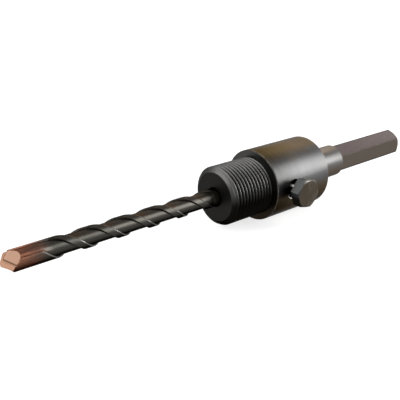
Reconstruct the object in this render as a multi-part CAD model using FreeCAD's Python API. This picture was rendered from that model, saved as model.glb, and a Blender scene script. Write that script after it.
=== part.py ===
import FreeCAD, Part
import math
import os

# Core bit adapter with its pilot drill, in mm.
# The spindle axis is X: the drill points to -X and the hex shank to +X.
# The origin is on that axis, in the shoulder face that a core bit seats on.
# The clamp screw stands out of the body towards -Y, and +Z is up.
# Angles around the axis are counted from -Y towards +Z, in degrees.

os.makedirs("parts", exist_ok=True)

Vec = FreeCAD.Vector
ORIGIN = Vec(0, 0, 0)
ALONG_X = Vec(1, 0, 0)

# Threaded nose, M22 x 1.5: its thread leaves off just before the shoulder
thread_r = 11.0
thread_pitch = 1.5
nose_length = 19.1
nose_face_r = 9.0
nose_chamfer = 1.5
thread_runout = 0.6

# Proportions of a metric thread: external depth and root width, as parts of the pitch
thread_flank_angle = 30.0
thread_depth_ratio = 0.5413
thread_root_ratio = 0.25

# Body, neck and hex shank
body_r = 13.5
body_length = 28.7
body_edge = 0.35
neck_r = 6.4
neck_length = 18.2
neck_edge = 0.3
hex_across_flats = 10.6
hex_corner_r = 6.0
hex_length = 41.1
hex_end_chamfer = 1.0

# Pilot drill, with its full length from the carbide's point to its rear end
drill_r = 3.4
drill_length = 120.4
drill_past_screw = 10.4
drill_end_chamfer = 0.5
core_r = 2.75
flute_lead = 24.7
flute_angle = 128.0
flute_start = 12.4
flute_runout = 2.4
flute_gap_to_nose = 0.3
head_relief_r = 3.15
head_relief_from = 27.0
head_relief_to = 100.0

# Carbide plate across the drill's end
plate_r = 3.5
plate_thickness = 1.6
plate_length = 8.6
plate_direction = -20.0

# Ground faces of the plate: each falls outwards along it and backwards across it
lip_slope = 0.76
relief_slope = 0.6
lip_offset = 0.35

# Steel end around the plate: a blunt cone, its rim counted from the carbide's point,
# with a flat ground on it behind each lip
steel_rim_start = 3.5
steel_cone_length = 3.2
steel_along_slope = 0.6
steel_across_slope = 1.52

# Clamp screw, M6 hex head, and its countersunk hole
screw_r = 3.0
screw_from_shoulder = 9.0
screw_head_flats = 10.0
screw_head_height = 3.8
screw_head_face_r = 4.9
screw_head_chamfer_angle = 30.0
screw_head_gap = 2.9
screw_head_turn = 11.0
screw_point_length = 1.2
screw_point_r = 2.2
countersink_r = 3.85

# Blind bore for the drill
bore_mouth_chamfer = 0.3
bore_point_angle = 118.0

# Clearances
bore_clearance = 0.05
bore_end_clearance = 0.3
screw_clearance = 0.05
screw_point_clearance = 0.05

# How far a cutter reaches past what it cuts
OVERCUT = 1.0
CREST_OVERCUT = 0.05

# Places worked out from the sizes
nose_x = -nose_length
neck_end_x = body_length + neck_length
shank_end_x = neck_end_x + hex_length
bore_r = drill_r + bore_clearance
drill_rear_x = screw_from_shoulder + drill_past_screw
tip_x = drill_rear_x - drill_length
plate_end_x = tip_x + plate_length
flute_edge_x = tip_x + flute_start
flute_rear_x = nose_x - flute_gap_to_nose
hole_r = screw_r + screw_clearance
screw_end_y = drill_r + screw_point_clearance
head_under_y = body_r + screw_head_gap
head_face_y = head_under_y + screw_head_height


def turned(outline):
    """Solid of revolution about X from (x, radius) points."""
    points = [Vec(x, 0, r) for x, r in outline]
    wire = Part.makePolygon(points + [points[0]])
    return Part.Face(wire).revolve(ORIGIN, ALONG_X, 360)


def around(angle):
    """Unit vector across the axis at an angle from -Y towards +Z."""
    turn = math.radians(angle)
    return Vec(0, -math.cos(turn), math.sin(turn))


def prism(corners, extrusion):
    """Solid between a flat outline and its copy moved by a vector."""
    return Part.Face(Part.makePolygon(corners + [corners[0]])).extrude(extrusion)


def hex_prism(across_flats, start, direction, length, flat_normal):
    """Hexagonal bar with one flat square to flat_normal."""
    half_step = math.radians(30)
    corner_r = across_flats / 2 / math.cos(half_step)
    side = direction.cross(flat_normal)
    corners = []
    for i in range(6):
        turn = (2 * i + 1) * half_step
        offset = flat_normal * math.cos(turn) + side * math.sin(turn)
        corners.append(start + offset * corner_r)
    return prism(corners, direction * length)


def helix_wire(radius, lead, x_from, x_to):
    """Right-hand helix about X, which starts below the axis."""
    helix = Part.makeHelix(lead, x_to - x_from, radius)
    helix.rotate(ORIGIN, Vec(0, 1, 0), 90)
    helix.translate(Vec(x_from, 0, 0))
    return Part.Wire(helix.Edges)


def swept(corners, path):
    """Solid that a closed outline leaves on its way along a helix."""
    profile = Part.makePolygon(corners + [corners[0]])
    return path.makePipeShell([profile], True, True)


def thread_groove():
    """Cutter for the external thread: a V-groove with a flat root."""
    root_r = thread_r - thread_depth_ratio * thread_pitch
    root_half = thread_root_ratio * thread_pitch / 2
    outer_r = thread_r + CREST_OVERCUT
    outer_half = root_half + (outer_r - root_r) * math.tan(math.radians(thread_flank_angle))
    x_from = nose_x - thread_pitch
    x_to = -thread_runout - outer_half
    corners = [
        Vec(x_from - root_half, 0, -root_r),
        Vec(x_from - outer_half, 0, -outer_r),
        Vec(x_from + outer_half, 0, -outer_r),
        Vec(x_from + root_half, 0, -root_r),
    ]
    return swept(corners, helix_wire(root_r, thread_pitch, x_from, x_to))


def threaded_nose():
    """Nose with its thread and front chamfer, long enough to run into the body."""
    length = nose_length + body_length / 2
    plain = Part.makeCylinder(thread_r, length, Vec(nose_x, 0, 0), ALONG_X)
    slope = (thread_r - nose_face_r) / nose_chamfer
    chamfer = turned([
        (nose_x - OVERCUT, nose_face_r - slope * OVERCUT),
        (nose_x + nose_chamfer + OVERCUT, thread_r + slope * OVERCUT),
        (nose_x - OVERCUT, thread_r + slope * OVERCUT),
    ])
    return plain.cut(thread_groove()).cut(chamfer)


def screw_hole():
    """Tapped cross hole at its clearance size, with its countersink."""
    start = Vec(screw_from_shoulder, 0, 0)
    outward = around(0)
    hole = Part.makeCylinder(hole_r, body_r + OVERCUT, start, outward)
    sink_depth = countersink_r - hole_r
    sink = Part.makeCone(hole_r, countersink_r + OVERCUT, sink_depth + OVERCUT,
                         start + outward * (body_r - sink_depth), outward)
    return hole.fuse(sink)


def drill_bore():
    """Blind bore for the drill's shank, with its mouth chamfer and drilled point."""
    end_x = drill_rear_x + bore_end_clearance
    point_length = bore_r / math.tan(math.radians(bore_point_angle / 2))
    return turned([
        (nose_x - OVERCUT, 0),
        (nose_x - OVERCUT, bore_r + bore_mouth_chamfer + OVERCUT),
        (nose_x + bore_mouth_chamfer, bore_r),
        (end_x, bore_r),
        (end_x + point_length, 0),
    ])


def adapter_body():
    """Nose, shoulder, body, neck and hex shank, turned and milled from one bar."""
    bar = turned([
        (0, 0),
        (0, body_r - body_edge),
        (body_edge, body_r),
        (body_length - body_edge, body_r),
        (body_length, body_r - body_edge),
        (body_length, neck_r),
        (neck_end_x - neck_edge, neck_r),
        (neck_end_x, neck_r - neck_edge),
        (neck_end_x, 0),
    ])
    shank_form = turned([
        (body_length, 0),
        (body_length, hex_corner_r),
        (shank_end_x - hex_end_chamfer, hex_corner_r),
        (shank_end_x, hex_corner_r - hex_end_chamfer),
        (shank_end_x, 0),
    ])
    shank = hex_prism(hex_across_flats, Vec(body_length, 0, 0), ALONG_X,
                      shank_end_x - body_length, around(0)).common(shank_form)
    return bar.fuse([threaded_nose(), shank]).cut(drill_bore()).cut(screw_hole())


def wedge_outline(x, angle_from, angle_to):
    """Outline across the drill between two angles, from inside its core to past its land."""
    inner_r = core_r / 2
    outer_r = drill_r + OVERCUT
    angles = [angle_from + (angle_to - angle_from) * part for part in (0, 0.25, 0.5, 0.75, 1)]
    offsets = [around(angle) * outer_r for angle in angles]
    offsets += [around(angle_to) * inner_r, around(angle_from) * inner_r]
    return [Vec(x, 0, 0) + offset for offset in offsets]


def straight_wedge(x_from, x_to, angle_from, angle_to):
    """Wedge between two angles that runs along the drill."""
    return prism(wedge_outline(x_from, angle_from, angle_to), ALONG_X * (x_to - x_from))


def flute_cutter():
    """Helical flute, which leads forward into a shallow relief on the drill's head."""
    flute_to = head_relief_from + flute_angle
    x_full = flute_edge_x + flute_lead * (flute_to - head_relief_to) / 360
    twisted = swept(
        wedge_outline(flute_edge_x, head_relief_from, flute_to),
        helix_wire(drill_r, flute_lead, flute_edge_x, flute_rear_x),
    )
    kept_land = straight_wedge(flute_edge_x - OVERCUT, x_full, head_relief_to,
                               head_relief_from + 180)
    head_relief = straight_wedge(tip_x - OVERCUT, x_full, head_relief_from, head_relief_to)
    floor = turned([
        (tip_x - 2 * OVERCUT, 0),
        (tip_x - 2 * OVERCUT, head_relief_r),
        (flute_edge_x - flute_runout / 2, head_relief_r),
        (flute_edge_x + flute_runout / 2, core_r),
        (flute_rear_x - flute_runout, core_r),
        (flute_rear_x, drill_r + CREST_OVERCUT),
        (flute_rear_x + OVERCUT, drill_r + CREST_OVERCUT),
        (flute_rear_x + OVERCUT, 0),
    ])
    return twisted.cut(kept_land).fuse(head_relief).cut(floor)


def plate_blank(reach, x_from):
    """Plate before grinding, across the drill and down to the end of its slot."""
    along = around(plate_direction) * reach
    half = around(plate_direction + 90) * (plate_thickness / 2)
    centre = Vec(x_from, 0, 0)
    corners = [centre - along - half, centre + along - half, centre + along + half,
               centre - along + half]
    return prism(corners, ALONG_X * (plate_end_x - x_from))


def before_face(axis_x, along_slope, across_slope):
    """What a ground face takes off: all that lies before it, out past the plate's corners."""
    reach = plate_r + OVERCUT
    corners = []
    for a, b in ((1, 1), (-1, 1), (-1, -1), (1, -1)):
        x = axis_x + (along_slope * a + across_slope * b) * reach
        offset = around(plate_direction) * a + around(plate_direction + 90) * b
        corners.append(Vec(x, 0, 0) + offset * reach)
    return prism(corners, ALONG_X * (-4 * reach))


def ground(blank, axis_x, along_slope, across_slope):
    """Blank with one face ground on each of the drill's two sides."""
    first = before_face(axis_x, along_slope, across_slope)
    second = before_face(axis_x, -along_slope, -across_slope)
    return blank.cut(first).cut(second)


def pilot_drill():
    """Masonry drill: ground end with the plate's slot, two flutes and a plain shank."""
    rim_x = tip_x + steel_rim_start
    apex_x = rim_x - steel_cone_length
    bar = turned([
        (apex_x, 0),
        (rim_x, drill_r),
        (drill_rear_x - drill_end_chamfer, drill_r),
        (drill_rear_x, drill_r - drill_end_chamfer),
        (drill_rear_x, 0),
    ])
    flute = flute_cutter()
    opposite = flute.copy()
    opposite.rotate(ORIGIN, ALONG_X, 180)
    slot = plate_blank(drill_r + OVERCUT, tip_x - OVERCUT)
    fluted = bar.cut(flute).cut(opposite).cut(slot)
    return ground(fluted, apex_x, steel_along_slope, steel_across_slope)


def carbide_tip():
    """Plate whose two lips are each ground on both sides of the cutting edge."""
    rounded = turned([
        (tip_x, 0),
        (tip_x, plate_r),
        (plate_end_x, plate_r),
        (plate_end_x, 0),
    ])
    blank = plate_blank(plate_r + OVERCUT, tip_x).common(rounded)
    relieved = ground(blank, tip_x, lip_slope, relief_slope)
    return ground(relieved, tip_x - 2 * relief_slope * lip_offset, lip_slope, -relief_slope)


def clamp_screw():
    """Hex-head screw with a coned point against the drill's shank."""
    outward = around(0)
    axis = Vec(screw_from_shoulder, 0, 0)
    turn = math.radians(screw_head_turn)
    head = hex_prism(screw_head_flats, axis + outward * head_under_y, outward,
                     screw_head_height, Vec(math.sin(turn), 0, math.cos(turn)))
    corner_r = screw_head_flats / 2 / math.cos(math.radians(30))
    drop = (corner_r - screw_head_face_r) * math.tan(math.radians(screw_head_chamfer_angle))
    crown = Part.makeCone(corner_r, screw_head_face_r, drop,
                          axis + outward * (head_face_y - drop), outward)
    sleeve = Part.makeCylinder(corner_r, screw_head_height - drop,
                               axis + outward * head_under_y, outward)
    head = head.common(sleeve.fuse(crown))
    shank_from_y = screw_end_y + screw_point_length
    shank = Part.makeCylinder(screw_r, head_under_y - shank_from_y,
                              axis + outward * shank_from_y, outward)
    point = Part.makeCone(screw_point_r, screw_r, screw_point_length,
                          axis + outward * screw_end_y, outward)
    return head.fuse([shank, point]).removeSplitter()


def main():
    """Write one STEP file for each piece."""
    pieces = {
        "adapter_body": adapter_body(),
        "pilot_drill": pilot_drill(),
        "carbide_tip": carbide_tip(),
        "clamp_screw": clamp_screw(),
    }
    for name, shape in pieces.items():
        shape.exportStep("parts/" + name + ".step")


main()
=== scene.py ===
# %% [markdown]
# # A core bit adapter, dressed for a product picture
#
# A core bit adapter carries a hollow masonry core bit on a drill. Its nose has a thread for the
# core bit, a masonry pilot drill stands out of the nose to start the hole, a screw in the side
# clamps that drill, and a hex shank at the back goes into the chuck.
#
# The solid model is loaded first, as a frame that stays where it is. Everything after that is
# finish: one piece whose shape follows a rule, four materials, a floor, the light and a camera.

# %% Load the solid model
import math
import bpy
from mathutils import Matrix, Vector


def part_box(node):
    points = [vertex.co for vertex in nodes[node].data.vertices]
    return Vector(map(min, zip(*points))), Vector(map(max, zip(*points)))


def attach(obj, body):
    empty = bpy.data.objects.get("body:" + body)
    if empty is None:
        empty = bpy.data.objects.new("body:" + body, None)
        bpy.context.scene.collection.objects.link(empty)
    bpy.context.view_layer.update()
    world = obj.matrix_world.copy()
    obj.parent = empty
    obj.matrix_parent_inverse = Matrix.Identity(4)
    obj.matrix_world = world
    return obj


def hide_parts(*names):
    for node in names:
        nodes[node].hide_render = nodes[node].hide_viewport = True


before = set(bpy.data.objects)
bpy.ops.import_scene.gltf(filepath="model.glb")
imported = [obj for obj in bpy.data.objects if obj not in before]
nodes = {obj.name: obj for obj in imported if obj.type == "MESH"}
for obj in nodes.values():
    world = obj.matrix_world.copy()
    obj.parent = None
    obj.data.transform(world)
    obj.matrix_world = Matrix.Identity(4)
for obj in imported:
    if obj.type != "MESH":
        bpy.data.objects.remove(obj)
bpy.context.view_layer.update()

from types import SimpleNamespace

import bpy
from mathutils import Vector

MM = 0.001
print("solid model:", ", ".join(sorted(nodes)))

# %% [markdown]
# ## Camera
#
# The picture was taken from in front of the drill's point, on the clamp screw's side, from a
# little above. A camera is easiest to describe as a photographer would: what it aims at, how far
# away it stands, and how far round and how high. The place follows from those by sine and cosine.

# %% Place the camera
CAMERA_AIM = Vector((-25.86, 0.0, 0.57)) * MM
CAMERA_DISTANCE = 233.4 * MM
CAMERA_AZIMUTH = math.radians(-40.83)
CAMERA_ELEVATION = math.radians(21.3)
CAMERA_LENS = 59.54
SENSOR_WIDTH = 36.0


def towards(azimuth, elevation):
    """Unit vector to a place that is so far round and so high."""
    level = math.cos(elevation)
    return Vector((math.sin(azimuth) * level, -math.cos(azimuth) * level, math.sin(elevation)))


camera_data = bpy.data.cameras.new("camera")
camera_data.lens = CAMERA_LENS
camera_data.sensor_width = SENSOR_WIDTH
camera_data.clip_start = 0.01
camera = bpy.data.objects.new("camera", camera_data)
view_direction = towards(CAMERA_AZIMUTH, CAMERA_ELEVATION)
camera.location = CAMERA_AIM + view_direction * CAMERA_DISTANCE
camera.rotation_euler = view_direction.to_track_quat("Z", "Y").to_euler()
bpy.context.scene.collection.objects.link(camera)
bpy.context.scene.camera = camera
print("camera at", [round(v, 4) for v in camera.location])

# %% [markdown]
# ## Writing nodes as sums
#
# Shader and geometry nodes are boxes joined by wires, and a formula drawn that way is hard to
# read. Here a `Wire` is one output of a node. It knows how to add, multiply and compare, and each
# operation adds its Math node, so that `1 - mask * 0.5` means what it says. Every other node comes
# from one method of `Nodes`, which takes the node's type, its settings and its sockets' values.

# %% Two small classes for node trees
class Wire:
    """An output socket that can be used in a sum."""

    def __init__(self, tree, socket):
        self.tree = tree
        self.socket = socket

    def __add__(self, other):
        return self.tree.math("ADD", self, other)

    def __sub__(self, other):
        return self.tree.math("SUBTRACT", self, other)

    def __rsub__(self, other):
        return self.tree.math("SUBTRACT", other, self)

    def __mul__(self, other):
        return self.tree.math("MULTIPLY", self, other)

    def __truediv__(self, other):
        return self.tree.math("DIVIDE", self, other)

    def __rtruediv__(self, other):
        return self.tree.math("DIVIDE", other, self)

    def __lt__(self, other):
        return self.tree.math("LESS_THAN", self, other)

    def __gt__(self, other):
        return self.tree.math("GREATER_THAN", self, other)

    __radd__ = __add__
    __rmul__ = __mul__

    def output(self, name):
        """Another output of the same node."""
        return Wire(self.tree, self.socket.node.outputs[name])


class Nodes:
    """A node tree that is filled by one method."""

    def __init__(self, tree):
        self.tree = tree

    def node(self, kind, settings=None, values=None, output=0):
        """Adds a node: its settings first, then the values or wires of its sockets."""
        made = self.tree.nodes.new(kind)
        for name, value in (settings or {}).items():
            setattr(made, name, value)
        for name, value in (values or {}).items():
            if isinstance(value, Wire):
                self.tree.links.new(value.socket, made.inputs[name])
            else:
                made.inputs[name].default_value = value
        return Wire(self, made.outputs[output]) if made.outputs else made

    def math(self, operation, *values):
        return self.node("ShaderNodeMath", {"operation": operation}, dict(enumerate(values)))

    def ease(self, value, low, high):
        """0 below low, 1 above high, and a smooth rise between; low may be the larger."""
        return self.node("ShaderNodeMapRange", {"interpolation_type": "SMOOTHSTEP"},
                         {"Value": value, "From Min": low, "From Max": high})

    def between(self, value, low, high, soft):
        """1 between two values and 0 outside, with soft borders."""
        return self.ease(value, low - soft, low + soft) * self.ease(value, high + soft, high - soft)

    def blend(self, factor, first, second):
        """Colour that goes from the first to the second."""
        return self.node("ShaderNodeMix", {"data_type": "RGBA"},
                         {0: factor, 6: first, 7: second}, output=2)

    def vector(self, x, y, z):
        return self.node("ShaderNodeCombineXYZ", None, {"X": x, "Y": y, "Z": z})

    def noise(self, place, scale, detail=3.0, roughness=0.55):
        """Cloudy pattern from about 0.3 to 0.7, with so many features in a metre."""
        return self.node("ShaderNodeTexNoise", None, {
            "Vector": place, "Scale": scale, "Detail": detail, "Roughness": roughness})


print("node helpers ready")

# %% [markdown]
# ## The pilot drill
#
# A masonry drill is a round bar with two helical flutes. Between the flutes are the lands, which
# are as wide as the hole. It can be cut from a bar, or swept along a helix, but its shape follows
# a rule that a Geometry Nodes tree can state directly: a sheet of quads is rolled into a tube, and
# the radius of each point depends only on where it is in the twist.
#
# The sheet's columns follow the flutes' edges, so that these come out clean: so many columns lie
# on a flute's floor, one on each of its walls, and so many on a land. Its first rows make the
# ground end, and they meet the others exactly at the rim. On the head, the flutes turn into a
# shallow straight relief beside each land.

# %% Sizes of the pilot drill
DRILL_INPUTS = {
    "Point": -100.7 * MM,
    "Rear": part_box("pilot_drill")[1][0],
    "Land Radius": 3.4 * MM,
    "Core Radius": 2.75 * MM,
    "Head Radius": 3.15 * MM,
    "Lead": 24.7 * MM,
    "Flute Start": -88.6 * MM,
    "Flute End": -19.4 * MM,
    "Run Out": 2.4 * MM,
    "End Chamfer": 0.5 * MM,
    "Edge Drop": 0.10 * MM,
}

# Angles around the axis, from the clamp screw's side upwards
FLUTE_DEGREES = 128.0
FLUTE_FROM_DEGREES = 27.0
RELIEF_DEGREES = 73.0
WALL_DEGREES = 1.5
PLATE_DEGREES = -20.0

# How far the faces of the ground end fall back for each step outwards
CONE_SLOPE = 3.2 / 3.4
GROUND_ALONG_SLOPE = 0.6
GROUND_ACROSS_SLOPE = 1.52

# How the sheet is divided, and where its marks lie on it
FLUTE_COLUMNS = 38
LAND_COLUMNS = 24
HALF_COLUMNS = FLUTE_COLUMNS + LAND_COLUMNS + 2
WORN_COLUMNS = 3
STAIN_AND_SHADE_COLUMNS = FLUTE_COLUMNS * 0.6
END_ROWS = 20
ROWS = 620

# The front run-out is smoother, so it begins before the flute's start and ends past the run-out
FRONT_BEFORE = 0.5
FRONT_PAST = 1.5
MERGE_DISTANCE = 0.001 * MM
SHARP_ANGLE = math.radians(28.0)
print("drill sheet of", ROWS, "rows and", 2 * HALF_COLUMNS, "columns")

# %% Name the tree's inputs
drill_tree = bpy.data.node_groups.new("twisted_drill", "GeometryNodeTree")


def add_input(tree, name, kind):
    """Adds an input to a node group and gives its identifier."""
    return tree.interface.new_socket(name, in_out="INPUT", socket_type=kind).identifier


input_keys = {name: add_input(drill_tree, name, "NodeSocketFloat") for name in DRILL_INPUTS}
material_key = add_input(drill_tree, "Material", "NodeSocketMaterial")
drill_tree.interface.new_socket("Geometry", in_out="OUTPUT", socket_type="NodeSocketGeometry")
print("tree inputs:", ", ".join(input_keys))

# %% [markdown]
# The tree's sums come in three steps, each a function: where a column lies around the drill, how
# far out its points are, and how the ground end closes it. The tree also knows which points lie on
# a land's worn edge, on a flute's steep wall and on one side of its floor, which carries a stain
# and, on the head, a painted shade along the step. It stores that as three attributes, so that the
# finish can follow the twist. They are stored while the sheet is still flat, because each one is
# worked out from a point's place in it.

# %% Where each column lies around the drill
def steps(g, value, low, high, amount):
    """0 up to low, amount from high on, and a straight rise between."""
    return g.node("ShaderNodeMapRange", None, {
        "Value": value, "From Min": low, "From Max": high, "To Max": amount})


def lay_column(g, column, twist):
    """Angle round the drill before its twist, 1 on a flute's floor, and marks for the finish."""
    half = g.math("FLOOR", column / HALF_COLUMNS)
    in_half = column - half * HALF_COLUMNS
    opening = g.math("MINIMUM", twist + RELIEF_DEGREES, FLUTE_DEGREES)
    land_from = FLUTE_COLUMNS + 1
    land_to = land_from + LAND_COLUMNS
    angle = (half * 180.0
             + steps(g, in_half, 0, FLUTE_COLUMNS, opening - WALL_DEGREES)
             + steps(g, in_half, FLUTE_COLUMNS, land_from, WALL_DEGREES)
             + steps(g, in_half, land_from, land_to, 180.0 - WALL_DEGREES - opening)
             + steps(g, in_half, land_to, HALF_COLUMNS, WALL_DEGREES))
    on_floor = in_half < FLUTE_COLUMNS + 0.5
    on_edge = steps(g, in_half, land_to - WORN_COLUMNS, land_to, 1.0)
    on_wall = (in_half > FLUTE_COLUMNS - 0.5) * (in_half < land_from + 0.5)
    # Floor side that carries the stain and, on the head, the painted step shade
    by_edge = g.ease(in_half, STAIN_AND_SHADE_COLUMNS, 0)
    return angle, on_floor, {"worn_edge": on_edge, "dark_wall": on_wall, "stain_and_step_shade": by_edge}


# %% How far out the points are
def lay_radius(g, given, x, on_floor, on_edge):
    """Radius of the lands, the flutes, their run-outs and the rear chamfer."""
    land, core, head = (given.output(n + " Radius") for n in ("Land", "Core", "Head"))
    start, end, run_out = (given.output(n) for n in ("Flute Start", "Flute End", "Run Out"))
    front = g.ease(x, start - run_out * FRONT_BEFORE, start + run_out * FRONT_PAST)
    back = 1.0 - steps(g, x, end - run_out, end, 1.0)
    floor = head + (core - head) * front
    floor = land + (floor - land) * back
    top = land - on_edge * given.output("Edge Drop") * front * back
    radius = top + (floor - top) * on_floor
    chamfer = land - given.output("End Chamfer") + given.output("Rear") - x
    return g.math("MINIMUM", radius, chamfer)


# %% The whole tree
def lay_out_drill(tree):
    """Fills the tree: a rolled and twisted sheet whose radius follows the flutes."""
    g = Nodes(tree)
    given = g.node("NodeGroupInput")
    point, rear = given.output("Point"), given.output("Rear")
    sheet = g.node("GeometryNodeMeshGrid", None, {
        "Size X": ROWS - 1.0, "Size Y": 2.0 * HALF_COLUMNS,
        "Vertices X": ROWS, "Vertices Y": 2 * HALF_COLUMNS + 1})
    place = g.node("ShaderNodeSeparateXYZ", None, {0: g.node("GeometryNodeInputPosition")})
    row = g.math("ROUND", place.output("X") + (ROWS - 1) / 2)
    column = g.math("ROUND", place.output("Y") + HALF_COLUMNS)

    at_head, head_floor, _ = lay_column(g, column, column * 0.0)
    rim_radius = given.output("Land Radius") + head_floor * (
        given.output("Head Radius") - given.output("Land Radius"))
    off_plate = (at_head + (FLUTE_FROM_DEGREES - PLATE_DEGREES)) * (math.pi / 180.0)
    ground = g.math("ABSOLUTE", g.math("COSINE", off_plate) * GROUND_ALONG_SLOPE
                    + g.math("SINE", off_plate) * GROUND_ACROSS_SLOPE)
    slope = g.math("MAXIMUM", ground, CONE_SLOPE)
    on_end = steps(g, row, 0, END_ROWS, 1.0)
    rim = point + slope * rim_radius
    x = point + (rim - point) * on_end + steps(g, row, END_ROWS, ROWS - 2, 1.0) * (rear - rim)

    travel = g.math("MINIMUM", x, given.output("Flute End")) - given.output("Flute Start")
    twist = g.math("MAXIMUM", travel, 0.0) / given.output("Lead") * 360.0
    angle, on_floor, marks = lay_column(g, column, twist)
    radius = lay_radius(g, given, x, on_floor, marks["worn_edge"])
    radius = radius * on_end * (row < ROWS - 1.5)
    turn = (angle + FLUTE_FROM_DEGREES - twist) * (math.pi / 180.0)
    marked = sheet
    for name, amount in marks.items():
        marked = g.node("GeometryNodeStoreNamedAttribute", None,
                        {"Geometry": marked, "Name": name, "Value": amount})
    rolled = g.node("GeometryNodeSetPosition", None, {"Geometry": marked, "Position": g.vector(
        x, radius * g.math("COSINE", turn) * -1.0, radius * g.math("SINE", turn))})
    closed = g.node("GeometryNodeMergeByDistance", None,
                    {"Geometry": rolled, "Distance": MERGE_DISTANCE})
    smooth = g.node("GeometryNodeSetShadeSmooth", {"domain": "FACE"},
                    {"Geometry": closed, "Shade Smooth": True})
    fold = g.node("GeometryNodeInputMeshEdgeAngle")
    creased = g.node("GeometryNodeSetShadeSmooth", {"domain": "EDGE"}, {
        "Geometry": smooth, "Selection": fold > SHARP_ANGLE, "Shade Smooth": False})
    real = g.node("GeometryNodeRealizeInstances", None, {"Geometry": creased})
    finished = g.node("GeometryNodeSetMaterial", None,
                      {"Geometry": real, "Material": given.output("Material")})
    g.node("NodeGroupOutput", None, {"Geometry": finished})


lay_out_drill(drill_tree)
print("drill tree has", len(drill_tree.nodes), "nodes")

# %% [markdown]
# The tree is run once by a modifier on an empty mesh. Its result becomes a plain mesh, and the
# helper with its modifier is removed, so what is left is an ordinary object at the origin.

# %% Turn the tree into a mesh that rides with the drill
drill_finish = bpy.data.materials["drill_steel"]


def made_by_nodes(name, tree, values):
    """Runs a Geometry Nodes tree once and keeps its result as a plain mesh object."""
    helper = bpy.data.objects.new(name + "_helper", bpy.data.meshes.new(name + "_helper"))
    bpy.context.scene.collection.objects.link(helper)
    modifier = helper.modifiers.new("shape", "NODES")
    modifier.node_group = tree
    for key, value in values.items():
        modifier[key] = value
    bpy.context.view_layer.update()
    evaluated = helper.evaluated_get(bpy.context.evaluated_depsgraph_get())
    mesh = bpy.data.meshes.new_from_object(evaluated)
    helper.modifiers.remove(modifier)
    bpy.data.objects.remove(helper)
    mesh.name = name
    made = bpy.data.objects.new(name, mesh)
    bpy.context.scene.collection.objects.link(made)
    return made


drill_values = {input_keys[name]: value for name, value in DRILL_INPUTS.items()}
drill_values[material_key] = drill_finish
drill = made_by_nodes("twisted_drill", drill_tree, drill_values)
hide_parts("pilot_drill")
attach(drill, "drill")
print("drill mesh has", len(drill.data.polygons), "faces")

# %% [markdown]
# ## Surfaces that a lathe left
#
# The adapter is turned from bar, so each of its round surfaces has fine rings around the axis,
# which lie close together along whatever profile the tool followed. Adding the distance along the
# axis to the distance from it gives one number that grows along cylinders and end faces alike, and
# a noise that is stretched around the axis on that number gives the rings.

# %% Helpers for every steel finish
EDGE_TINT = (0.4, 0.4, 0.4, 1.0)
RELIEF_DEPTH = 0.02 * MM


def new_finish(name):
    """Material with its nodes cleared, as Nodes and its Principled shader."""
    material = bpy.data.materials.get(name) or bpy.data.materials.new(name)
    material.use_nodes = True
    material.node_tree.nodes.clear()
    m = Nodes(material.node_tree)
    shader = m.node("ShaderNodeBsdfPrincipled")
    m.node("ShaderNodeOutputMaterial", None, {"Surface": shader})
    return material, m, shader.socket.node


def surface_of(m):
    """A point's place, its distance from the spindle axis, and how far up it faces, -1 to 1."""
    place = m.node("ShaderNodeTexCoord").output("Object")
    parts = m.node("ShaderNodeSeparateXYZ", None, {0: place})
    x, y, z = (parts.output(axis) for axis in "XYZ")
    from_axis = m.math("SQRT", y * y + z * z)
    return SimpleNamespace(place=place, x=x, y=y, z=z, from_axis=from_axis, up=z / from_axis)


def tool_rings(m, s, profile, around, scale):
    """Rings round the spindle axis: fine along the profile, and stretched around the axis."""
    return m.noise(m.vector(profile, s.y * around, s.z * around), scale, 2.0)


def finish_as_metal(m, shader, colour, roughness, relief, strength):
    """Feeds the shader of a metal, and dims what it mirrors at a glancing angle."""
    normal = m.node("ShaderNodeBump", None,
                    {"Strength": strength, "Distance": RELIEF_DEPTH, "Height": relief})
    for name, wire in (("Base Color", colour), ("Roughness", roughness), ("Normal", normal)):
        m.tree.links.new(wire.socket, shader.inputs[name])
    shader.inputs["Metallic"].default_value = 1.0
    shader.inputs["Specular Tint"].default_value = EDGE_TINT


def dress(node_name, material):
    """Makes a material the only one of a node of the solid model."""
    slots = nodes[node_name].data.materials
    slots.clear()
    slots.append(material)
    print(node_name, "finished with", len(material.node_tree.nodes), "nodes")


print("finish helpers ready")

# %% [markdown]
# ## Blackened steel
#
# The adapter's steel is blackened: a thin oxide that is nearly black where it is thick and shows
# brown where it is thin. It is glossy with oil, so it mirrors a lamp without any colour of its
# own. The oxide differs from place to place, so each part of the adapter gets its own function for
# its colour, and soft borders join them. A mask from 0 to 1 says where a colour lies: it comes from
# how far up a point faces, from how far along or out it is, or from both.

# %% Where the adapter's finish changes
THREAD_CREST = 11.0 * MM
THREAD_END = -0.6 * MM
NOSE_FACE_RADIUS = 9.0 * MM
NOSE_CHAMFER_END = -17.6 * MM
BODY_RADIUS = 13.5 * MM
BODY_END = 28.7 * MM
NECK_END = 46.9 * MM
SHANK_END = 88.0 * MM
HEX_CORNER_RADIUS = 6.0 * MM
SCREW_X = 9.0 * MM
COUNTERSINK_RADIUS = 3.85 * MM
BORDER = 0.1 * MM
print("adapter from", NOSE_CHAMFER_END, "to", SHANK_END, "m")

# %% [markdown]
# The nose is the darkest part. Its upper side is painted lighter, as painted light, and its
# underside and the thread's groove are painted darker, as painted shade. The front face around
# the bore is an even black.

# %% Oxide of the nose
# Nose colours: painted shade below and in the groove, painted light on the top
NOSE_PAINTED_SHADE = (0.0055, 0.0050, 0.0040, 1.0)
NOSE_PAINTED_LIGHT = (0.050, 0.0495, 0.0485, 1.0)
OXIDE_BLACK = (0.020, 0.0195, 0.0185, 1.0)
NOSE_LIGHT_UP = (-0.15, 0.42)
NOSE_LIGHT_WANDER = 0.2
GROOVE_FROM = 0.2 * MM
GROOVE_TO = 0.6 * MM
GROOVE_SHADE = 0.75


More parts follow.
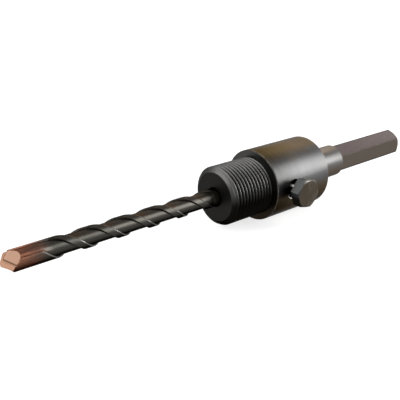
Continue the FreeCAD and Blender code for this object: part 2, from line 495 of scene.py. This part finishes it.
def nose_oxide(m, s, clouds):
    """Where the nose's top light is painted, and its colour with painted light and shade."""
    # Painted light on the nose's top, painted shade on its underside
    nose_top_light = m.ease(s.up + (clouds - 0.5) * NOSE_LIGHT_WANDER, *NOSE_LIGHT_UP)
    # The thread's groove gets painted shade
    groove = m.ease(s.from_axis, THREAD_CREST - GROOVE_FROM, THREAD_CREST - GROOVE_TO)
    groove = groove * m.ease(s.x, NOSE_CHAMFER_END - 2 * BORDER, NOSE_CHAMFER_END + 2 * BORDER)
    oxide = m.blend(nose_top_light * (1.0 - groove * GROOVE_SHADE), NOSE_PAINTED_SHADE, NOSE_PAINTED_LIGHT)
    on_face = m.ease(s.from_axis, NOSE_FACE_RADIUS + 2 * BORDER, NOSE_FACE_RADIUS)
    return nose_top_light, m.blend(on_face, oxide, OXIDE_BLACK)


print("nose colours ready")

# %% [markdown]
# The body is painted dark in front, as painted shade by the nose, and turns browner towards the
# shank. A golden stain lies on the front half of its top, lighter there partly as painted light.
# One strip along its side, where the key light's highlight falls, is a painted highlight, greyer
# and lighter in front. The ring that a core bit seats on is painted lighter above than below, as
# painted light and shade.

# %% Oxide of the body and its seat
# The dark front and the seat's lower half are painted shade, the seat's top painted light
OXIDE_BODY_SHADED = (0.023, 0.018, 0.012, 1.0)
OXIDE_FRONT_IN_HIGHLIGHT = (0.036, 0.036, 0.0355, 1.0)
OXIDE_BROWN = (0.071, 0.055, 0.040, 1.0)
OXIDE_BACK_IN_HIGHLIGHT = (0.074, 0.073, 0.073, 1.0)
OXIDE_GOLD_AND_TOP_LIGHT = (0.078, 0.059, 0.036, 1.0)
SEAT_PAINTED_LIGHT = (0.052, 0.0515, 0.050, 1.0)
GOLD_AND_LIGHT_UP = (0.70, 0.95)
GOLD_WANDER = 0.5
GOLD_ALONG = (22.0 * MM, 6.0 * MM)
GOLD_IN_FRONT = 0.3
BROWNING_AND_SHADE_ALONG = (-3.0 * MM, 19.0 * MM)
BROWNING_AND_SHADE_WANDER = 8.0 * MM
SEAT_LIGHT_UP = (-0.3, 0.9)
SEAT_ALONG = (0.08 * MM, 0.02 * MM)


def body_oxide(m, s, clouds, wide_rings, highlight_band):
    """Colour of the body's side and of the seat, with painted light, shade and highlight."""
    # The gold on the front top is partly a stain and partly painted light
    gold_and_top_light = m.ease(s.up + (clouds - 0.5) * GOLD_WANDER, *GOLD_AND_LIGHT_UP) * m.ease(s.x, *GOLD_ALONG)
    # Painted highlight along the strip that faces the key light
    front = m.blend(highlight_band, OXIDE_BODY_SHADED, OXIDE_FRONT_IN_HIGHLIGHT)
    front = m.blend(gold_and_top_light * GOLD_IN_FRONT, front, OXIDE_GOLD_AND_TOP_LIGHT)
    back = m.blend(gold_and_top_light, m.blend(highlight_band, OXIDE_BROWN, OXIDE_BACK_IN_HIGHLIGHT), OXIDE_GOLD_AND_TOP_LIGHT)
    # Darker in front by the nose as painted shade, browner behind
    browning_out_of_shade = m.ease(s.x + (wide_rings - 0.5) * BROWNING_AND_SHADE_WANDER, *BROWNING_AND_SHADE_ALONG)
    # Painted light on the seat's top, painted shade below
    seat = m.blend(m.ease(s.up, *SEAT_LIGHT_UP), OXIDE_BODY_SHADED, SEAT_PAINTED_LIGHT)
    return m.blend(m.ease(s.x, *SEAT_ALONG), m.blend(browning_out_of_shade, front, back), seat)


print("body colours ready")

# %% [markdown]
# The neck and the hexagon have the thinnest oxide, and are the lightest. The hexagon's upper flats
# are mauve and lighter towards its end, its lower ones brown, and its rounded corners are painted
# darker, as painted shade that dims their highlight.

# %% Oxide of the neck and the hexagon
SHANK_BROWN = (0.108, 0.090, 0.075, 1.0)
SHANK_IN_HIGHLIGHT = (0.090, 0.089, 0.087, 1.0)
HEX_BROWN = (0.088, 0.075, 0.062, 1.0)
HEX_MAUVE_NEAR = (0.096, 0.079, 0.077, 1.0)
HEX_MAUVE_FAR = (0.128, 0.108, 0.104, 1.0)
HEX_SPECK_AND_CORNER_SHADE = (0.050, 0.042, 0.038, 1.0)
UPPER_FLAT = (0.45, 0.55)
SPECKS = (0.35, 0.65)
SPECK_SHADE = 0.25
CORNER_FROM = 0.10 * MM
CORNER_TO = 0.03 * MM


def hexagon_oxide(m, s, fine_clouds):
    """1 on the hexagon's corners, and its colour, with painted shade on the corners."""
    mauve = m.blend(m.ease(s.x, NECK_END, SHANK_END), HEX_MAUVE_NEAR, HEX_MAUVE_FAR)
    mauve = m.blend(m.ease(fine_clouds, *SPECKS) * SPECK_SHADE, mauve, HEX_SPECK_AND_CORNER_SHADE)
    flats = m.blend(m.ease(s.up, *UPPER_FLAT), HEX_BROWN, mauve)
    # The corners' darker colour is painted shade
    corner = m.ease(s.from_axis, HEX_CORNER_RADIUS - CORNER_FROM, HEX_CORNER_RADIUS - CORNER_TO)
    return corner, m.blend(corner, flats, HEX_SPECK_AND_CORNER_SHADE)


print("shank colours ready")

# %% [markdown]
# Handling has rubbed the oxide off the crests of the thread and off the body's corners, in
# patches; on the crests it shows only on the lit top, so there it is partly a painted highlight.
# The screw's countersink is painted black inside as shade, apart from a painted highlight at its
# lower left.

# %% Wear, and the screw's hole
# The countersink's black is painted shade; the bright steel colour is a painted highlight
BARE_STEEL = (0.22, 0.215, 0.205, 1.0)
PAINTED_GLINT = (0.75, 0.74, 0.72, 1.0)
HOLE_PAINTED_SHADE = (0.003, 0.003, 0.003, 1.0)
CREST_WEAR_AND_GLINT = 0.12
CORNER_WEAR = 0.25
PATCHES = (0.36, 0.6)
HOLE_GLINT_DOWN = (-12.0 * MM, -12.4 * MM)
HOLE_GLINT_TOWARDS = (-0.5, -0.866)
HOLE_GLINT_WITHIN = (0.80, 0.92)


def rubbed_bare_and_glint(m, s, on_nose, nose_top_light, fine_clouds):
    """How much of the oxide is gone; on crests only on the lit top, partly a painted highlight."""
    # Bare crests only on the lit top: partly wear, partly painted highlight
    crest = m.ease(s.from_axis, THREAD_CREST - 0.12 * MM, THREAD_CREST - 0.02 * MM) * on_nose
    corners = m.ease(s.from_axis, BODY_RADIUS - 0.32 * MM, BODY_RADIUS - 0.12 * MM) * (
        m.ease(s.x, 0.5 * MM, 0.1 * MM) + m.ease(s.x, BODY_END - 0.5 * MM, BODY_END - 0.1 * MM))
    return (crest * CREST_WEAR_AND_GLINT * nose_top_light + corners * CORNER_WEAR) * m.ease(fine_clouds, *PATCHES)


def from_screw_axis(m, s):
    """How far a point is from the clamp screw's axis: along X, and in all."""
    across = s.x - SCREW_X
    return across, m.math("SQRT", across * across + s.z * s.z)


def screw_hole(m, s, colour):
    """1 in the countersink, and the adapter's colour with painted shade and highlight there."""
    across, from_hole = from_screw_axis(m, s)
    # Painted shade inside the countersink
    inside = (from_hole < COUNTERSINK_RADIUS - 0.02 * MM) * (s.y < 0.0)
    side = across * HOLE_GLINT_TOWARDS[0] + s.z * HOLE_GLINT_TOWARDS[1]
    # Painted highlight at the countersink's lower left
    hole_glint = inside * m.ease(s.y, *HOLE_GLINT_DOWN) * m.ease(side / from_hole, *HOLE_GLINT_WITHIN)
    return inside, m.blend(hole_glint, m.blend(inside, colour, HOLE_PAINTED_SHADE), PAINTED_GLINT)


print("wear ready")

# %% [markdown]
# The adapter's material joins these parts. Its relief is turned rings on all round surfaces and
# fine unordered marks on the milled hexagon, and it is rougher where it is worn or in the shade.

# %% Put the adapter's finish together
# Where the key light's highlight lies on the body and neck; the colours there are a painted
# highlight
HIGHLIGHT_TOWARDS = (-0.866, 0.5)
HIGHLIGHT_WITHIN = (0.78, 0.96)
HIGHLIGHT_WANDER = 0.3
NECK_SOFT = 2.0 * MM


def blackened_steel():
    """Finish of the whole adapter."""
    material, m, shader = new_finish("blackened_steel")
    s = surface_of(m)
    clouds = m.noise(s.place, 140.0, 4.0)
    fine_clouds = m.noise(s.place, 900.0, 3.0)
    profile = s.x + s.from_axis
    rings = tool_rings(m, s, profile, 0.02, 3600.0)
    wide_rings = tool_rings(m, s, profile, 0.01, 650.0)
    milled = m.noise(s.place, 2600.0, 3.0)
    on_shank = m.ease(s.x, NECK_END - BORDER, NECK_END + BORDER)
    on_nose = m.ease(s.x, THREAD_END + BORDER, THREAD_END - BORDER)
    # The strip that faces the key light, which gets a painted highlight
    side = (s.z * HIGHLIGHT_TOWARDS[1] + s.y * HIGHLIGHT_TOWARDS[0]) / s.from_axis
    highlight_band = m.ease(side + (clouds - 0.5) * HIGHLIGHT_WANDER, *HIGHLIGHT_WITHIN)

    nose_top_light, nose = nose_oxide(m, s, clouds)
    oxide = m.blend(on_nose, body_oxide(m, s, clouds, wide_rings, highlight_band), nose)
    on_neck = m.ease(s.x, BODY_END - NECK_SOFT, BODY_END + NECK_SOFT)
    # The neck's colour in the highlight strip is a painted highlight
    oxide = m.blend(on_neck, oxide, m.blend(highlight_band, SHANK_BROWN, SHANK_IN_HIGHLIGHT))
    corner, hexagon = hexagon_oxide(m, s, fine_clouds)
    oxide = m.blend(on_shank, oxide, hexagon)
    oxide = m.blend(rubbed_bare_and_glint(m, s, on_nose, nose_top_light, fine_clouds), oxide, BARE_STEEL)
    in_hole, colour = screw_hole(m, s, oxide)

    marks = rings * (1.0 - on_shank) + milled * on_shank
    roughness = 0.36 + (clouds - 0.5) * 0.16 + (marks - 0.5) * 0.12
    roughness = roughness + on_nose * 0.06 + in_hole * 0.2 + on_shank * corner * 0.15
    roughness = roughness + m.ease(s.x, BODY_END, NECK_END) * 0.05
    finish_as_metal(m, shader, colour, roughness, marks * 0.7 + fine_clouds * 0.3, 0.35)
    return material


dress("adapter_body", blackened_steel())

# %% [markdown]
# ## Drill steel and carbide
#
# The drill has the same oxide, nearly black. The tops of its flutes are stained brown along one
# side. Their steep walls are painted darker still as shade, and so are the underside and the short
# length that stands in the bore's mouth.

# %% Oxide of the drill
# Painted shade for the underside, the steep walls and the bore's mouth
DRILL_PAINTED_SHADE = (0.008, 0.007, 0.005, 1.0)
DRILL_BLACK = (0.036, 0.034, 0.030, 1.0)
DRILL_DULL = (0.032, 0.028, 0.024, 1.0)
DRILL_BROWN = (0.046, 0.028, 0.018, 1.0)
STAIN_UP = (0.62, 0.85)
STAIN_WANDER = 0.3
UNDERSIDE = (0.05, -0.50)
WALL_UP = (0.80, 0.45)
HEAD_END = -88.6 * MM
NOSE_FACE = -19.1 * MM


def drill_oxide(m, s, clouds, stain_and_step_shade, below):
    """Colour of the drill where heat hasn't reached it, with painted shade below."""
    above = m.ease(s.up + (clouds - 0.5) * STAIN_WANDER, *STAIN_UP)
    oxide = m.blend(above, DRILL_BLACK, m.blend(stain_and_step_shade, DRILL_DULL, DRILL_BROWN))
    # Painted shade on the underside
    return m.blend(below, oxide, DRILL_PAINTED_SHADE)


def bore_shade(m, s):
    """1 on the short length of drill in and before the bore's mouth, where shade is painted."""
    return m.between(s.x, NOSE_FACE - 2.6 * MM, NOSE_FACE + 2.0 * MM, 1.0 * MM)


print("drill colours ready")

# %% [markdown]
# Brazing the carbide plate into its end heated the head: the oxide there turned to a copper
# colour, in long streaks that fade to black over about a centimetre. It is painted darker below,
# as shade, and so is the strip along the step between the head's relief and its land.

# %% Heat colours of the drill's head
# The darkest heat colour is painted shade, below and along the step
HEAT_COPPER = (0.160, 0.068, 0.042, 1.0)
HEAT_DARK = (0.100, 0.044, 0.029, 1.0)
HEAT_PAINTED_SHADE = (0.018, 0.006, 0.003, 1.0)
HEAT_ALONG = (-85.5 * MM, -96.0 * MM)
HEAT_WANDER = 7.0 * MM
STEP_SHADE_SPAN = (0.72, 0.97)
STEP_SHADE = 0.75
STREAKS = (0.3, 0.7)


def heated(m, s, oxide, stain_and_step_shade, below):
    """The drill's colour with the copper colour of its head and painted shade."""
    streaks = m.noise(m.vector(s.x * 0.12, s.y, s.z), 1400.0, 3.0)
    copper = m.blend(m.ease(streaks, *STREAKS), HEAT_COPPER, HEAT_DARK)
    # Painted shade on the copper's underside
    copper = m.blend(below, copper, HEAT_PAINTED_SHADE)
    heat = m.ease(s.x + (streaks - 0.5) * HEAT_WANDER, *HEAT_ALONG)
    # Painted shade along the step between the head's relief and its land
    painted_step_shade = m.ease(stain_and_step_shade, *STEP_SHADE_SPAN) * m.ease(s.x, HEAD_END + 3.0 * MM, HEAD_END)
    return m.blend(painted_step_shade * STEP_SHADE, m.blend(heat, oxide, copper), HEAT_PAINTED_SHADE)


print("heat colours ready")

# %% [markdown]
# The end was ground after brazing, so its faces are bright and pinkish, apart from a dark line of
# braze on both sides of the plate. The worn edge of each land is bright too, partly as bare steel
# and partly as a painted highlight, most of all on the drill's lower half.

# %% Ground end and worn edges
GROUND_PINK = (0.302, 0.183, 0.130, 1.0)
BRAZE = (0.085, 0.050, 0.029, 1.0)
# The worn edges' bright colour is partly bare steel and partly a painted highlight
WORN_EDGE_GLINT = (0.17, 0.168, 0.160, 1.0)
DRILL_APEX = -100.7 * MM
GROUND_RADIUS = 3.12 * MM
PLATE_HALF = 0.8 * MM
PLATE_TURN = math.radians(PLATE_DEGREES)
WORN_LEAST = 0.15
WORN_MORE = 0.75
WORN_UP = (0.34, 0.04)
WORN_WANDER = 0.4


def ground_marks(m, s):
    """Fine scratches, all one way, that a grinding wheel leaves."""
    return m.noise(m.vector(s.y, s.z * 0.08, s.x * 0.08), 5200.0, 2.0)


def ground_end(m, s):
    """1 on the drill's ground end, and the colour there."""
    ground = m.ease(s.x - s.from_axis * CONE_SLOPE, DRILL_APEX + 2.2 * MM, DRILL_APEX + 2.1 * MM)
    ground = ground * m.ease(s.from_axis, GROUND_RADIUS + 0.02 * MM, GROUND_RADIUS)
    off_plate = m.math("ABSOLUTE", s.y * math.sin(PLATE_TURN) + s.z * math.cos(PLATE_TURN))
    brazed = m.ease(off_plate, PLATE_HALF + 0.30 * MM, PLATE_HALF + 0.15 * MM)
    return ground, m.blend(brazed, GROUND_PINK, BRAZE)


def worn_edge_glint(m, s, clouds, worn):
    """How bright the worn edges are, bare and painted highlight: most on the lower half."""
    # Brighter on the lower half, as painted highlight
    lower = m.ease(s.up + (clouds - 0.5) * WORN_WANDER, *WORN_UP)
    return m.ease(worn, 0.2, 0.5) * (WORN_LEAST + lower * WORN_MORE)


print("ground end ready")

# %% Put the drill's finish together
def drill_steel():
    """Finish of the twisted drill, which reads the tree's three marks."""
    _, m, shader = new_finish("drill_steel")
    s = surface_of(m)
    clouds = m.noise(s.place, 260.0, 3.0)
    worn, wall, stain_and_step_shade = (
        m.node("ShaderNodeAttribute", {"attribute_name": name}).output("Fac")
        for name in ("worn_edge", "dark_wall", "stain_and_step_shade"))
    below = m.ease(s.up, *UNDERSIDE)
    past_head = m.ease(s.x, HEAD_END - 1.0 * MM, HEAD_END)
    in_shade = bore_shade(m, s)

    colour = heated(m, s, drill_oxide(m, s, clouds, stain_and_step_shade, below), stain_and_step_shade, below)
    # Painted shade on the steep walls and in the bore's mouth
    dark = m.math("MAXIMUM", wall * past_head * m.ease(s.up, *WALL_UP), in_shade)
    colour = m.blend(dark, colour, DRILL_PAINTED_SHADE)
    # Worn edges: partly bare steel, partly painted highlight
    bare_and_glint = worn_edge_glint(m, s, clouds, worn) * past_head * (1.0 - in_shade)
    colour = m.blend(bare_and_glint, colour, WORN_EDGE_GLINT)
    ground, end_colour = ground_end(m, s)
    colour = m.blend(ground, colour, end_colour)

    rings = tool_rings(m, s, s.x, 0.1, 3000.0)
    relief = rings + (ground_marks(m, s) - rings) * ground
    roughness = 0.36 + (clouds - 0.5) * 0.14 + ground * 0.2
    finish_as_metal(m, shader, colour, roughness, relief, 0.2)


drill_steel()
print("drill finished with", len(drill_finish.node_tree.nodes), "nodes")

# %% [markdown]
# The plate's ground faces are pink like the drill's end, with a fine grain of their own. Its two
# narrow sides stand a little out of the head, and have the head's heat colours, painted darker
# below as shade.

# %% Finish of the carbide plate
CARBIDE_PINK = (0.45, 0.255, 0.170, 1.0)
PLATE_SIDE = (3.40 * MM, 3.46 * MM)


def carbide():
    """Finish of the plate, pink on its ends and copper on its sides, with painted shade below."""
    material, m, shader = new_finish("carbide")
    s = surface_of(m)
    grain = m.noise(s.place, 4200.0, 2.0)
    # Painted shade on the underside of the plate's sides
    side_colour = m.blend(m.ease(s.up, *UNDERSIDE), HEAT_DARK, HEAT_PAINTED_SHADE)
    colour = m.blend(m.ease(s.from_axis, *PLATE_SIDE), CARBIDE_PINK, side_colour)
    relief = ground_marks(m, s) * 0.6 + grain * 0.4
    finish_as_metal(m, shader, colour, 0.5 + (grain - 0.5) * 0.2, relief, 0.2)
    return material


dress("carbide_tip", carbide())

# %% [markdown]
# ## Clamp screw
#
# The screw is a bought one with its own, greyer oxide. Its head was upset from wire, so its flats
# are a little scaly, and its face was turned last and shows rings around its own axis, which lies
# along Y. The flats on the left face away from the light; their shade is painted into their
# colour, as is the light on the grey ones on the right. Between the head and the body a bit of the
# screw's shank shows, painted nearly black as shade, with one painted highlight streak.

# %% Finish of the clamp screw
# Painted shade for the left flats and the shank, painted light for the right flats
SCREW_PAINTED_SHADE = (0.012, 0.011, 0.009, 1.0)
SCREW_HALF_SHADE = (0.034, 0.035, 0.035, 1.0)
SCREW_LIT_GREY = (0.150, 0.146, 0.136, 1.0)
SCREW_WARM = (0.060, 0.049, 0.037, 1.0)
SCREW_SHANK = 3.05 * MM
SCREW_HEAD_BACK = -16.4 * MM
SCREW_FACE = -20.2 * MM
FACE_WARMTH = 0.8
LOWER_LEFT = (-0.25, 0.05)
RIGHT_HALF = (-0.35, 0.1)
SHANK_GLINT_UP = (0.60, 0.80, 0.06)


def screw_colour(m, s, on_face, clouds):
    """Painted shade on left flats, painted light on right ones, a warm face and a glinting shank.
    """
    across, from_screw = from_screw_axis(m, s)
    # Left flats: painted shade
    left = m.blend(m.ease(s.z / from_screw, *LOWER_LEFT), SCREW_PAINTED_SHADE, SCREW_HALF_SHADE)
    # Right flats: painted light
    flats = m.blend(m.ease(across / from_screw, *RIGHT_HALF), left, SCREW_LIT_GREY)
    warmth = FACE_WARMTH + m.ease(clouds, 0.4, 0.65) * (1.0 - FACE_WARMTH)
    head = m.blend(on_face * warmth, flats, SCREW_WARM)
    # The visible shank is painted nearly black, as shade
    on_shank = (from_screw < SCREW_SHANK) * (s.y > SCREW_HEAD_BACK + 0.02 * MM)
    # Painted highlight streak along the shank's top
    shank_glint = m.between(s.z / from_screw, *SHANK_GLINT_UP)
    return from_screw, m.blend(on_shank, head, m.blend(shank_glint, SCREW_PAINTED_SHADE, PAINTED_GLINT))


def screw_steel():
    """Finish of the clamp screw."""
    material, m, shader = new_finish("screw_steel")
    s = surface_of(m)
    scale_marks = m.noise(s.place, 1500.0, 4.0)
    clouds = m.noise(s.place, 420.0, 3.0)
    on_face = m.ease(s.y, SCREW_FACE + 0.12 * MM, SCREW_FACE + 0.04 * MM)
    from_screw, colour = screw_colour(m, s, on_face, clouds)
    turned = m.noise(m.vector(from_screw, s.x * 0.02, s.z * 0.02), 3600.0, 2.0)
    relief = scale_marks + (turned - scale_marks) * on_face
    roughness = 0.36 + (clouds - 0.5) * 0.2 - on_face * 0.04
    finish_as_metal(m, shader, colour, roughness, relief, 0.35)
    return material


dress("clamp_screw", screw_steel())

# %% [markdown]
# ## Floor
#
# The picture has a pure white ground. A white floor under soft light comes close, and the rest is
# done by what a ray is: where the camera, or a mirror image, looks at the floor, part of what it
# sees is plain white. The object's shadow stays in the other part. Far from the object no shadow
# falls, so there the floor fades to plain white altogether, and it has no edge at the horizon.

# %% Lay the floor under the body
FLOOR_HEIGHT = -13.5 * MM
FLOOR_HALF = 4.0
FLOOR_COLOUR = (0.88, 0.88, 0.88, 1.0)
FLOOR_GLOW = 1.25
FLOOR_GLOW_SHARE = 0.6
FLOOR_FADE = (0.25, 0.70)
WHITE = (1.0, 1.0, 1.0, 1.0)


def seen_directly(m):
    """1 for rays from the camera, and for those that a mirror or glass sends on."""
    path = m.node("ShaderNodeLightPath")
    seen = path.output("Is Camera Ray") + path.output("Is Glossy Ray")
    return m.math("MINIMUM", seen + path.output("Is Transmission Ray"), 1.0)


def floor_finish():
    """Matt white paint that partly glows for the camera and for mirror images."""
    material = bpy.data.materials.new("pale_floor")
    material.use_nodes = True
    material.node_tree.nodes.clear()
    m = Nodes(material.node_tree)
    paint = m.node("ShaderNodeBsdfDiffuse", None, {"Color": FLOOR_COLOUR})
    glow = m.node("ShaderNodeEmission", None, {"Color": WHITE, "Strength": FLOOR_GLOW})
    place = m.node("ShaderNodeTexCoord").output("Object")
    away = m.node("ShaderNodeVectorMath", {"operation": "LENGTH"}, {0: place}).output("Value")
    share = FLOOR_GLOW_SHARE + m.ease(away, *FLOOR_FADE) * (1.0 - FLOOR_GLOW_SHARE)
    mixed = m.node("ShaderNodeMixShader", None,
                   {0: seen_directly(m) * share, 1: paint, 2: glow})
    m.node("ShaderNodeOutputMaterial", None, {"Surface": mixed})
    return material


floor_mesh = bpy.data.meshes.new("floor")
corners = [(a * FLOOR_HALF, b * FLOOR_HALF, FLOOR_HEIGHT)
           for a, b in ((-1, -1), (1, -1), (1, 1), (-1, 1))]
floor_mesh.from_pydata(corners, [], [(0, 1, 2, 3)])
floor_mesh.materials.append(floor_finish())
floor = bpy.data.objects.new("floor", floor_mesh)
bpy.context.scene.collection.objects.link(floor)
print("floor at", FLOOR_HEIGHT, "m")

# %% [markdown]
# ## Light
#
# Dark glossy steel shows mostly what it mirrors. A round bar mirrors a lamp as one line along
# itself, and the picture has that line on the body, on the neck and on the drill, a third of the
# way from the side to the top. That puts the key light to the right of the camera. A wide, weaker
# light behind and to the left brings out the top of the thread and the bevel of the nose, and the
# third and weakest one hangs behind and to the right.

# %% Hang the lamps
def soft_box(name, direction, distance, width, height, radiance):
    """Rectangular lamp that faces the object, with the same brightness all over."""
    data = bpy.data.lights.new(name, "AREA")
    data.shape = "RECTANGLE"
    data.size = width
    data.size_y = height
    data.energy = radiance * math.pi * width * height
    lamp = bpy.data.objects.new(name, data)
    direction = Vector(direction).normalized()
    lamp.location = direction * distance
    lamp.rotation_euler = direction.to_track_quat("Z", "Y").to_euler()
    bpy.context.scene.collection.objects.link(lamp)
    return lamp


soft_box("key", (0.609, -0.667, 0.429), 0.9, 0.45, 0.58, 12.5)
soft_box("back_left", (-0.74, 0.32, 0.56), 1.1, 1.3, 0.5, 6.2)
soft_box("top_right", (0.72, 0.45, 0.44), 1.1, 0.9, 0.7, 3.8)
print("lamps:", ", ".join(sorted(light.name for light in bpy.data.lights)))

# %% [markdown]
# The room around it all is white for the camera and in mirror images, but its light on matt
# surfaces is faint, by the same question of what a ray is. The view is set to Standard, which shows
# colours as they are.

# %% Paint the room
WORLD_LEVEL = 0.35

world = bpy.data.worlds.new("studio")
bpy.context.scene.world = world
world.use_nodes = True
world.node_tree.nodes.clear()
w = Nodes(world.node_tree)
strength = WORLD_LEVEL + seen_directly(w) * (1.0 - WORLD_LEVEL)
background = w.node("ShaderNodeBackground", None, {"Color": WHITE, "Strength": strength})
w.node("ShaderNodeOutputWorld", None, {"Surface": background})
bpy.context.scene.view_settings.view_transform = "Standard"
print("room light at", WORLD_LEVEL)
